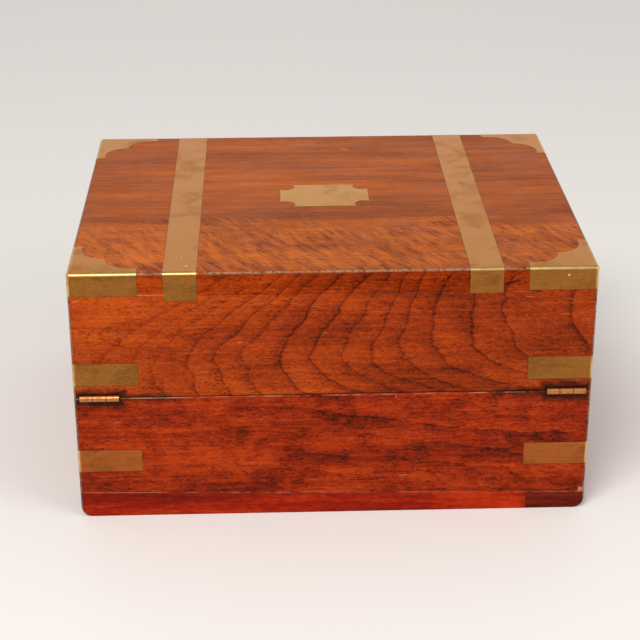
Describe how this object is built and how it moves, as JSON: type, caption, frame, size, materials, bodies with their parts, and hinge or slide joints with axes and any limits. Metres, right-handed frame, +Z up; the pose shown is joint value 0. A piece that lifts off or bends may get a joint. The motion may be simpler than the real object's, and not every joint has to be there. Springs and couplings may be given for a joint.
{
  "type": "writing box",
  "caption": "Brass-bound mahogany writing box with a sloping split lid, leather writing slope, pen tray, inkwells and a side drawer.",
  "frame": {"origin": "middle of the underside of the closed box", "axes": "+X to the right when the hinge side faces you, -Y out of the hinge side, +Z up"},
  "size_m": [0.3814, 0.3084, 0.1981],
  "materials": {
    "mahogany": "french polished, satin to gloss",
    "dark_mahogany": "polished",
    "lining_wood": "waxed",
    "brass": "aged satin",
    "steel": "oiled",
    "glass": "clear",
    "leather": "smooth, worn"
  },
  "bodies": {
    "base": {"bottom_board": "mahogany", "base_wall_hinge_side": "mahogany", "base_wall_lock_side": "mahogany", "base_wall_left": "mahogany", "base_wall_right": "mahogany", "well_divider": "mahogany", "base_writing_flap": "mahogany", "pen_tray": "mahogany", "inkwell_partitions": "mahogany", "bottom_edge_patch": "dark_mahogany", "drawer_guides": "lining_wood", "drawer_dustboard": "lining_wood", "inkwell_left": "glass", "hinge_leaf_base_left": "brass", "inkwell_right": "glass", "hinge_leaf_base_right": "brass", "inkwell_caps": "brass", "base_flap_hinges": "brass", "base_screws": "brass", "keyhole_escutcheon": "brass", "lock_case": "brass", "hinge_pins": "steel", "base_writing_leather": "leather", "base_angle_strap_hinge_side_left": "brass", "base_angle_strap_hinge_side_right": "brass", "base_angle_strap_lock_side_left": "brass", "base_angle_strap_lock_side_right": "brass"},
    "lid": {"lid_top_board": "mahogany", "lid_wall_hinge_side": "mahogany", "lid_wall_lock_side": "mahogany", "lid_wall_left": "mahogany", "lid_wall_right": "mahogany", "lid_writing_flap": "mahogany", "lid_writing_leather": "leather", "lid_strap_left": "brass", "lid_strap_right": "brass", "lid_nameplate": "brass", "lid_flap_hinges": "brass", "lid_screws": "brass", "lock_link_plate": "brass", "hinge_leaf_lid_left": "brass", "hinge_leaf_lid_right": "brass", "lid_corner_hinge_side_left": "brass", "lid_angle_strap_hinge_side_left": "brass", "lid_corner_hinge_side_right": "brass", "lid_angle_strap_hinge_side_right": "brass", "lid_corner_lock_side_left": "brass", "lid_angle_strap_lock_side_left": "brass", "lid_corner_lock_side_right": "brass", "lid_angle_strap_lock_side_right": "brass"},
    "drawer": {"drawer_front": "mahogany", "drawer_hinge_side": "lining_wood", "drawer_lock_side": "lining_wood", "drawer_back": "lining_wood", "drawer_bottom": "lining_wood", "drawer_handle_plate": "brass", "drawer_handle_screws": "brass"},
    "drawer_handle": {"drawer_handle_bail": "brass"},
    "lock_bolt": {"lock_bolt": "steel"}
  },
  "joints": [
    {"name": "lid_hinge", "type": "hinge", "parent": "base", "child": "lid", "pos_m": [0, -0.1533, 0.0995], "axis": [1, 0, 0], "range_deg": [0, 180]},
    {"name": "drawer_slide", "type": "slide", "parent": "base", "child": "drawer", "axis": [1, 0, 0], "range_m": [0, 0.25]},
    {"name": "drawer_handle_pivot", "type": "hinge", "parent": "drawer", "child": "drawer_handle", "pos_m": [0.1882, 0, 0.044], "axis": [0, -1, 0], "range_deg": [0, 110]},
    {"name": "lock_bolt_slide", "type": "slide", "parent": "base", "child": "lock_bolt", "axis": [-1, 0, 0], "range_m": [0, 0.0027]}
  ]
}
